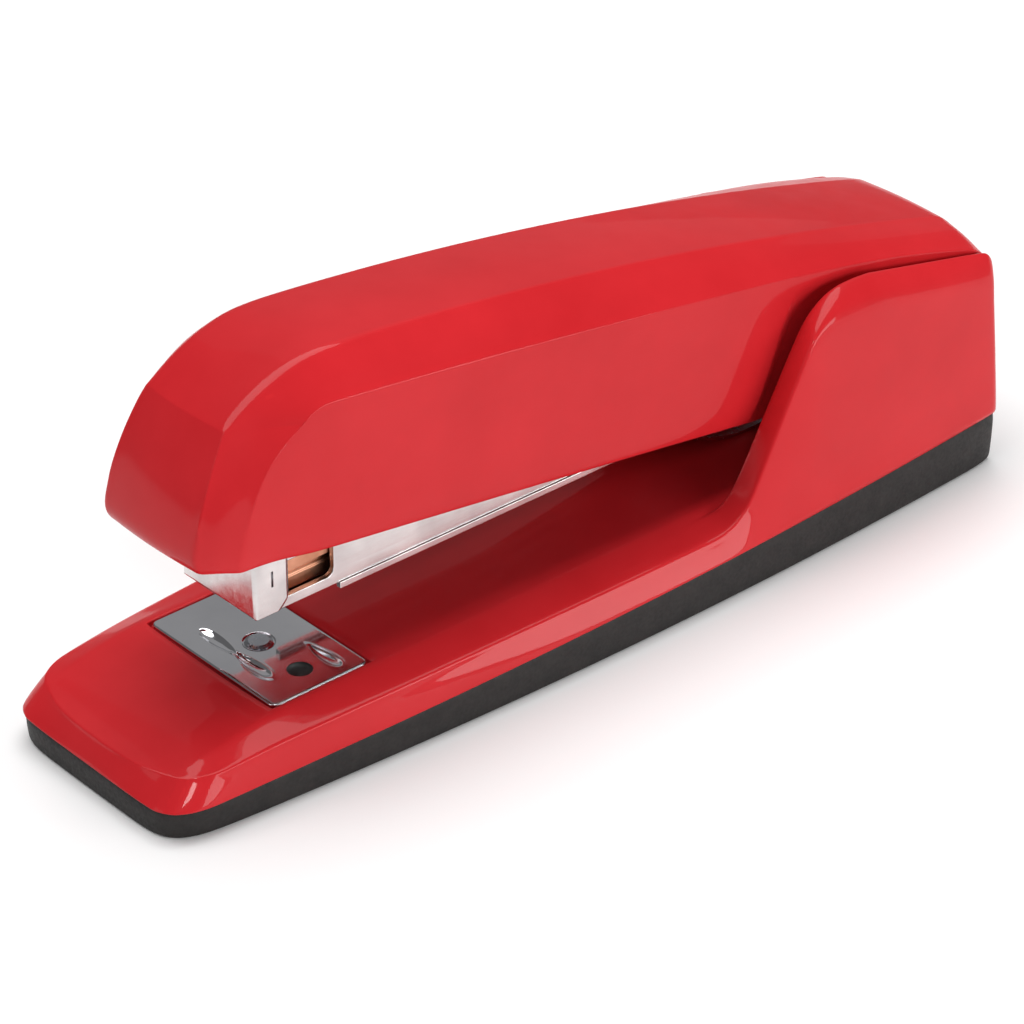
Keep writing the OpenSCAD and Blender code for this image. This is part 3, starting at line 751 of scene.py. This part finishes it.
def build_base():
    mesh = Mesh()
    columns = [((x, None), (x, None)) for x in FRONT_STATIONS] + flank_paths()
    n = len(columns)

    def plan_point(i, k, share, drawn_in):
        """Plan position of column i, row k, spread out by the share towards the lower edge."""
        (x_in, _), (x_out, _) = columns[i]
        if k < len(ROWS_Y):
            x, y = x_in, ROWS_Y[k]
        elif k == len(ROWS_Y):
            x, y = x_in, FLANK_IN + 0.35
        else:
            across = FLANK_SHARES[k - len(ROWS_Y) - 1]
            x = mix(x_in, x_out, across)
            y = mix(FLANK_IN + 0.8, crease_half_at(x_out), across)
        widest = crease_half_at(x)
        y *= (mix(widest, half_at(x), share ** 0.8) - drawn_in) / widest
        towards_front = clamp((-60 - x) / (-60 - FRONT_CREASE_X))
        bulge = FRONT_BULGE * max(1 - (y / 20) ** 2, 0) * (1 - share)
        x -= towards_front * ((HALF_LEN + FRONT_CREASE_X) * share + bulge)
        front = mix(FRONT_CREASE_X, -HALF_LEN, share)
        if i == 0:
            x += drawn_in
        if i == n - 1:
            x = mix(REAR_TOP_X, HALF_LEN - 0.02, share)

        def half_of(at):
            return mix(crease_half_at(at), half_at(at), share ** 0.8) - drawn_in

        return round_corner(x, y, front, mix(REAR_TOP_X, HALF_LEN, share), half_of)

    def top_z(i, k, x, y):
        z_in, z_out = columns[i][0][1], columns[i][1][1]
        if k < len(ROWS_Y):
            return WELL_Z if x > WELL_X else deck_z_at(x, y)
        if z_in is None:
            return deck_z_at(x, y)
        if k == len(ROWS_Y):
            return max(z_in - 0.9, deck_z_at(x, y))
        across = FLANK_SHARES[k - len(ROWS_Y) - 1]
        low, high = max(z_out, crease_z_at(x)), max(z_in, deck_z_at(x, FLANK_IN + 0.8))
        swell = 0.5 * clamp((high - DECK_Z) / 10) * (1 - (2 * across - 1) ** 2)
        return mix(high, low, across) + swell

    grid = {}
    for i in range(n):
        for j in range(-HALF_ROWS + 1, HALF_ROWS):
            x, y = plan_point(i, abs(j), 0.0, 0.0)
            grid[i, j] = mesh.add(x, math.copysign(y, j), top_z(i, abs(j), x, y))
    js = list(range(-HALF_ROWS + 1, HALF_ROWS))
    mesh.quads([[grid[i, j] for j in js] for i in range(n)])
    # boundary of the top, once round
    loop = [(0, j) for j in js] + [(i, js[-1]) for i in range(1, n)]
    loop += [(n - 1, j) for j in js[-2::-1]] + [(i, js[0]) for i in range(n - 2, 0, -1)]
    rings = [[grid[key] for key in loop]]
    for share, drawn_in in SIDE_LEVELS:
        ring = []
        for i, j in loop:
            x, y = plan_point(i, abs(j), share, drawn_in)
            z = mix(mesh.vertices[grid[i, j]][2], joint_z_at(x), share)
            ring.append(mesh.add(x, math.copysign(y, j), z))
        rings.append(ring)
    mesh.quads([ring + ring[:1] for ring in rings])
    bottom = {key: v for key, v in zip(loop, rings[-1])}
    for i in range(1, n - 1):
        for j in js[1:-1]:
            x, y, _ = mesh.vertices[grid[i, j]]
            bottom[i, j] = mesh.add(x, y, joint_z_at(x))
    mesh.quads([[bottom[i, j] for j in js] for i in range(n)], flip=True)
    # rectangular recess for the anvil plate
    xs = [FRONT_STATIONS.index(x) for x in recess_x]
    row = ROWS_Y.index(recess_y)
    inside = [(i, j) for i in range(xs[0], xs[1] + 1) for j in range(-row, row + 1)]
    rim = [key for key in inside if key[0] in xs or abs(key[1]) == row]
    floor = {}
    for key in inside:
        x, y, z = mesh.vertices[grid[key]]
        if key in rim:
            floor[key] = mesh.add(x, y, plate_low.z - 0.05)
        else:
            mesh.vertices[grid[key]] = (x, y, plate_low.z - 0.05)
            floor[key] = grid[key]
    swap = {grid[key]: floor[key] for key in rim}
    hole = {grid[key] for key in inside}
    mesh.faces = [
        [swap.get(v, v) for v in face] if all(v in hole for v in face) else face
        for face in mesh.faces]
    sharp = {}
    order = [(i, -row) for i in range(xs[0], xs[1])] + [(xs[1], j) for j in range(-row, row)]
    order += [(i, row) for i in range(xs[1], xs[0], -1)] + [(xs[0], j) for j in range(row, -row, -1)]
    for a, b in zip(order, order[1:] + order[:1]):
        mesh.faces.append([grid[a], grid[b], floor[b], floor[a]])
        sharp[tuple(sorted((grid[a], grid[b])))] = 0.95
        sharp[tuple(sorted((floor[a], floor[b])))] = 1.0
    for key in ((xs[0], -row), (xs[0], row), (xs[1], -row), (xs[1], row)):
        sharp[tuple(sorted((grid[key], floor[key])))] = 0.9
    for a, b in zip(rings[-1], rings[-1][1:] + rings[-1][:1]):
        sharp[tuple(sorted((a, b)))] = 0.8
    for corner in (loop.index((n - 1, js[-1])), loop.index((n - 1, js[0]))):
        for upper, lower in zip(rings[1:], rings[2:]):
            sharp[tuple(sorted((upper[corner], lower[corner])))] = 0.6
    data = mesh_data("base_casting_visual", mesh, sharp)
    base = link("base_casting_visual", data, MATERIALS["red_lacquer"], "base", "red_lacquer",
                "base_casting")
    subdivide(base, 2)
    return base


def build_pad():
    mesh = Mesh()
    xs = [-HALF_LEN, -86, -80, -66, -50, -33, -16, 0, 17, 34, 50, 66, 80, 86, HALF_LEN]
    shares = [-1, -0.8, -0.5, 0, 0.5, 0.8, 1]
    # height and inset of each ring; None is just under the joint
    levels = [(0.0, 1.3), (0.0, 0.75), (0.35, 0.5), (1.2, 0.35),
              (None, 0.15), ("top", 0.5), ("top", 0.9)]
    n, m = len(xs), len(shares)
    loop = [(0, j) for j in range(m)] + [(i, m - 1) for i in range(1, n)]
    loop += [(n - 1, j) for j in range(m - 2, -1, -1)] + [(i, 0) for i in range(n - 2, 0, -1)]

    def place(i, j, z, inset):
        x = mix(-HALF_LEN + inset, HALF_LEN - inset, (xs[i] + HALF_LEN) / (2 * HALF_LEN))
        half = half_at(x) - inset
        y = half * abs(shares[j])
        x, y = round_corner(x, y, -HALF_LEN + inset, HALF_LEN - inset, lambda at: half_at(at) - inset)
        top = joint_z_at(x) - 0.02
        height = {None: top - 0.7, "top": top}.get(z, z)
        return mesh.add(x, math.copysign(y, shares[j]), height)

    rings = [[place(i, j, z, inset) for i, j in loop] for z, inset in levels]
    mesh.quads([ring + ring[:1] for ring in rings])
    for ring, (z, inset), flip in ((rings[0], levels[0], True), (rings[-1], levels[-1], False)):
        cap = {key: v for key, v in zip(loop, ring)}
        for i in range(1, n - 1):
            for j in range(1, m - 1):
                cap[i, j] = place(i, j, z, inset)
        mesh.quads([[cap[i, j] for j in range(m)] for i in range(n)], flip)
    sharp = {}
    for corner in (loop.index((n - 1, m - 1)), loop.index((n - 1, 0))):
        for upper, lower in zip(rings, rings[1:]):
            sharp[tuple(sorted((upper[corner], lower[corner])))] = 0.5
    data = mesh_data("base_pad_visual", mesh, sharp)
    pad = link("base_pad_visual", data, MATERIALS["black_pad"], "base", "black_pad", "base_pad")
    subdivide(pad, 2)
    return pad


# ---------------------------------------------------------------- anvil plate
PLATE_STEP = 0.16
PLATE_CORNER_R = 1.4
HOLE_R = 2.1
HOLE_Y = -10.3
POST_GROOVE_R = span("anvil_post")[1].y + 0.15
SCOOP_HALF = 1.15
SCOOP_DEPTH = 0.55
# centre of each stamped scoop, measured from the plate's centre, and half its length
SCOOPS = [(-4.8, -4.3, 4.5), (-4.8, 4.3, 4.5), (5.3, -9.9, 3.9), (5.3, 9.9, 3.9)]


def scoop_height(dx, y):
    """Relief of the scoops: a hollow with a low raised rim."""
    z = 0.0
    for cx, cy, reach in SCOOPS:
        u = (y - cy) / reach
        v = (dx - cx) / (SCOOP_HALF * (1 - 0.35 * u * math.copysign(1, -cy)))
        d = math.hypot(u, v)
        if d < 1:
            z -= SCOOP_DEPTH * (1 - d * d) ** 0.8
        z += 0.09 * math.exp(-((d - 1.1) / 0.14) ** 2)
    return z


def build_anvil():
    """Chromed plate with stamped scoops for closed and open staples, and a hole lined with a black cup
    of painted shade.
    """
    centre_x = (plate_low.x + plate_high.x) / 2
    nx = round((plate_high.x - plate_low.x) / PLATE_STEP)
    ny = round((plate_high.y - plate_low.y) / PLATE_STEP)
    hole = Vector((centre_x, HOLE_Y))
    mesh = Mesh()
    top = []
    for i in range(nx + 1):
        line = []
        for j in range(ny + 1):
            x = mix(plate_low.x, plate_high.x, i / nx)
            y = mix(plate_low.y, plate_high.y, j / ny)
            edge = min(x - plate_low.x, plate_high.x - x, y - plate_low.y, plate_high.y - y)
            side_x, side_y = math.copysign(1, x - centre_x), math.copysign(1, y)
            corner_x = (plate_high.x - plate_low.x) / 2 - PLATE_CORNER_R
            corner_y = plate_high.y - PLATE_CORNER_R
            p = (abs(x - centre_x) - corner_x) / PLATE_CORNER_R
            q = (abs(y) - corner_y) / PLATE_CORNER_R
            if p > 0 and q > 0:
                p, q = disc_corner(p, q)
                x = centre_x + side_x * (corner_x + PLATE_CORNER_R * p)
                y = side_y * (corner_y + PLATE_CORNER_R * q)
            z = plate_high.z + scoop_height(x - centre_x, y) - 0.14 * (1 - clamp(edge / 0.5)) ** 2
            groove = math.hypot(x - centre_x, y) - POST_GROOVE_R
            z -= 0.25 * math.exp(-(groove / 0.16) ** 2)
            away = Vector((x, y)) - hole
            if HOLE_R - PLATE_STEP < away.length < HOLE_R + PLATE_STEP * 0.6:
                x, y = hole + away.normalized() * HOLE_R
            line.append(mesh.add(x, y, z))
        top.append(line)
    mesh.quads(top)
    inside = {v for v, (x, y, _) in enumerate(mesh.vertices)
              if (Vector((x, y)) - hole).length < HOLE_R - 0.01}
    mesh.faces = [face for face in mesh.faces if not inside.intersection(face)]
    ring = [(i, 0) for i in range(nx + 1)] + [(nx, j) for j in range(1, ny + 1)]
    ring += [(i, ny) for i in range(nx - 1, -1, -1)] + [(0, j) for j in range(ny - 1, 0, -1)]
    upper = [top[i][j] for i, j in ring]
    low_ring = [mesh.add(mesh.vertices[v][0], mesh.vertices[v][1], plate_low.z) for v in upper]
    mesh.quads([upper + upper[:1], low_ring + low_ring[:1]])
    data = mesh_data("anvil_plate_visual", mesh)
    drop_loose(data)
    link("anvil_plate_visual", data, MATERIALS["chrome_plate"], "anvil", "chrome_plate",
         "anvil_plate")
    # the black cup inside the hole is painted shade, standing in for the dark inside of the hole
    rim_z, floor_z = plate_high.z - 0.08, plate_low.z + 0.05
    cup_r = HOLE_R + 0.05
    turned("anvil_hole_shade_cup", (hole.x, hole.y),
           [(cup_r, rim_z), (cup_r, floor_z), (0.0, floor_z)], "anvil", "black_button")


def turned_mesh(axis, profile, around=32):
    """Mesh turned about an upright axis; the profile is pairs of radius and height."""
    mesh = Mesh()
    rims = []
    for radius, z in profile:
        if radius == 0:
            rims.append([mesh.add(*axis, z)] * around)
        else:
            rims.append([mesh.add(axis[0] + radius * math.cos(math.tau * k / around),
                                  axis[1] + radius * math.sin(math.tau * k / around), z)
                         for k in range(around)])
    mesh.quads([rim + rim[:1] for rim in rims])
    return mesh


def turned(name, axis, profile, body, slot):
    """Adds a turned piece to the scene."""
    link(name, mesh_data(name, turned_mesh(axis, profile)), MATERIALS[slot], body, slot)


def bore(piece, axis, profile):
    """Cuts a turned shape out of a piece and keeps the result as its mesh."""
    cutter_data = mesh_data("bore_cutter", turned_mesh(axis, profile))
    cutter = bpy.data.objects.new("bore_cutter", cutter_data)
    bpy.context.scene.collection.objects.link(cutter)
    cut = piece.modifiers.new("bore", "BOOLEAN")
    cut.operation = "DIFFERENCE"
    cut.solver = "MANIFOLD"
    cut.object = cutter
    bpy.context.view_layer.update()
    evaluated = piece.evaluated_get(bpy.context.evaluated_depsgraph_get())
    baked = bpy.data.meshes.new_from_object(evaluated)
    piece.modifiers.clear()
    piece.data = baked
    bpy.data.objects.remove(cutter)
    widest = max(radius for radius, _ in profile) + BORE_MARGIN
    work = bmesh.new()
    work.from_mesh(baked)
    for edge in work.edges:
        inside = all(math.hypot(v.co.x / MM - axis[0], v.co.y / MM - axis[1]) < widest
                     for v in edge.verts)
        if inside and len(edge.link_faces) == 2 and edge.calc_face_angle() > BORE_EDGE_ANGLE:
            edge.smooth = False
    work.to_mesh(baked)
    work.free()


def bore_base(casting, pad):
    """Stepped hole for the anvil's button and post, as in the CAD casting and pad."""
    post_top = span("anvil_post")[1].z
    button_low, button_high = span("anvil_button")
    axis = ((button_low.x + button_high.x) / 2, 0.0)
    button_r = (button_high.x - button_low.x) / 2 + BUTTON_GAP
    step_z = span("anvil_spring")[1].z + SPRING_GAP
    below, above = -CUT_PAST, post_top + CUT_PAST
    bore(casting, axis, [(0, below), (button_r, below), (button_r, step_z),
                         (POST_BORE_R, step_z), (POST_BORE_R, above), (0, above)])
    bore(pad, axis, [(0, below), (button_r, below), (button_r, above), (0, above)])


def build_coil(node, body, along, coil):
    """Coil spring in place of its CAD node."""
    turns, wire, travel = coil
    low, high = span(node)
    side = [i for i in range(3) if i != along]
    middle = [(low[i] + high[i]) / 2 for i in range(3)]
    reach = (high[side[0]] - low[side[0]]) / 2 - wire
    length = high[along] - low[along]
    mesh = Mesh()
    rings = []
    for i in range(turns * COIL_STEPS + 1):
        angle = math.tau * i / COIL_STEPS
        ring = []
        for j in range(COIL_SIDES):
            around = math.tau * j / COIL_SIDES
            point = list(middle)
            radius = reach + wire * math.cos(around)
            point[side[0]] += radius * math.cos(angle)
            point[side[1]] += radius * math.sin(angle)
            point[along] = (low[along] + wire + (length - 2 * wire) * i / (turns * COIL_STEPS)
                            + wire * math.sin(around))
            ring.append(mesh.add(*point))
        rings.append(ring)
    mesh.quads([ring + ring[:1] for ring in rings])
    mesh.faces.append(rings[0][::-1])
    mesh.faces.append(rings[-1])
    name = node + "_visual"
    data = mesh_data(name, mesh)
    spring = link(name, data, MATERIALS["spring_steel"], body, "spring_steel", node)
    anchor = [c * MM for c in middle]
    anchor[along] = high[along] * MM
    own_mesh(spring)


def build_sleeve_slot_shade():
    """Dark patch on each side of the nose sleeve: painted shade standing in for the dark inside of its
    slot.
    """
    half = span("nose_sleeve")[1].y
    outline = [(SLOT_X[0], SLOT_Z[0]), (SLOT_X[1], SLOT_Z[0]),
               (SLOT_X[1], SLOT_Z[1]), (SLOT_X[0], SLOT_Z[1])]
    for side in (-1, 1):
        mesh = Mesh()
        corners = []
        for y in (half - 0.2, half + 0.02):
            corners.append([mesh.add(x, side * y, z) for x, z in outline])
        mesh.quads([ring + ring[:1] for ring in corners])
        mesh.faces.append(corners[0])
        mesh.faces.append(corners[1])
        name = "sleeve_slot_left" if side > 0 else "sleeve_slot_right"
        link(name, mesh_data(name, mesh), MATERIALS["dark_steel"], "magazine", "dark_steel")


def build_bosses():
    """Posts under the cover that the liner is riveted to."""
    low, high = span("liner_rivets")
    rivet_r = (high.y - low.y) / 2
    for i, x in enumerate((low.x + rivet_r, high.x - rivet_r)):
        foot = LINER_ROOF_Z + LINER_SLOPE * (HINGE_X - x)
        roof = crest_at(x) - COVER_WALL
        turned(f"cover_boss_{i + 1}", (x, 0.0),
               [(0.0, foot), (BOSS_R - 0.3, foot), (BOSS_R, foot + 0.3), (BOSS_R, roof), (0.0, roof)],
               "cover", "red_lacquer")


build_cover()
bore_base(build_base(), build_pad())
build_anvil()
build_coil("anvil_spring", "base", 2, ANVIL_COIL)
build_coil("pusher_spring", "magazine", 0, PUSHER_COIL)
build_bosses()
build_sleeve_slot_shade()


# ---------------------------------------------------------------- bare CAD nodes get soft edges
WELD_DISTANCE = 0.005
SOFT_EDGE_ANGLE = math.radians(32)


def soften(name, width, segments=2):
    """Small rounded edges on a CAD node, from modifiers alone."""
    part_object = nodes[name]
    weld = part_object.modifiers.new("weld", "WELD")
    weld.merge_threshold = WELD_DISTANCE * MM
    edges = part_object.modifiers.new("edges", "BEVEL")
    edges.width = width * MM
    edges.segments = segments
    edges.limit_method = "ANGLE"
    edges.angle_limit = SOFT_EDGE_ANGLE
    edges.harden_normals = True


soften("nose_sleeve", 0.7, 3)
for name in ("magazine_channel", "inner_rail", "hinge_bracket", "pusher", "cover_liner"):
    soften(name, 0.22)


# ---------------------------------------------------------------- floor, lights and camera
def build_floor():
    data = bpy.data.meshes.new("floor")
    half = 3.0
    data.from_pydata([(-half, -half, 0), (half, -half, 0), (half, half, 0), (-half, half, 0)], [],
                     [(0, 1, 2, 3)])
    floor = bpy.data.objects.new("floor", data)
    bpy.context.scene.collection.objects.link(floor)
    material, _, shader = blank("floor_pale")
    shader.inputs["Base Color"].default_value = (0.95, 0.95, 0.95, 1)
    shader.inputs["Roughness"].default_value = 0.8
    shader.inputs["Specular IOR Level"].default_value = 0.1
    data.materials.append(material)


def area_light(name, place, aim, size, power):
    light = bpy.data.lights.new(name, "AREA")
    light.shape = "RECTANGLE"
    light.size, light.size_y = size
    light.energy = power
    lamp = bpy.data.objects.new(name, light)
    lamp.location = Vector(place)
    lamp.rotation_euler = (Vector(aim) - Vector(place)).to_track_quat("-Z", "Y").to_euler()
    bpy.context.scene.collection.objects.link(lamp)


def build_camera():
    camera = bpy.data.cameras.new("camera")
    camera.sensor_width = 36.0
    camera.lens = 140.6
    camera.clip_start = 0.01
    camera.clip_end = 20.0
    holder = bpy.data.objects.new("camera", camera)
    place = Vector((-373.1, -420.6, 359.8)) * MM
    aim = Vector((-18.4, -18.0, 30.0)) * MM
    holder.location = place
    holder.rotation_euler = (aim - place).to_track_quat("-Z", "Y").to_euler()
    bpy.context.scene.collection.objects.link(holder)
    bpy.context.scene.camera = holder


build_floor()
build_camera()
area_light("overhead", (0.1, 0.3, 1.2), (0.1, 0.3, 0), (1.5, 1.0), 17.5)
area_light("back", (0.76, 0.86, 0.72), (0, 0, 0.03), (1.5, 1.0), 0.9)
area_light("near_camera", (-0.62, -0.72, 0.72), (0, 0, 0.03), (0.17, 0.17), 1.7)
area_light("right", (0.35, -1.1, 0.24), (0.02, 0, 0.03), (1.0, 0.4), 8)
area_light("left", (-1.1, 0.25, 0.45), (0, 0, 0.03), (0.5, 0.5), 0.8)

world = bpy.data.worlds.new("studio")
world.use_nodes = True
world.node_tree.nodes["Background"].inputs["Color"].default_value = (1, 1, 1, 1)
world.node_tree.nodes["Background"].inputs["Strength"].default_value = 0.14
bpy.context.scene.world = world
bpy.context.scene.view_settings.view_transform = "Standard"
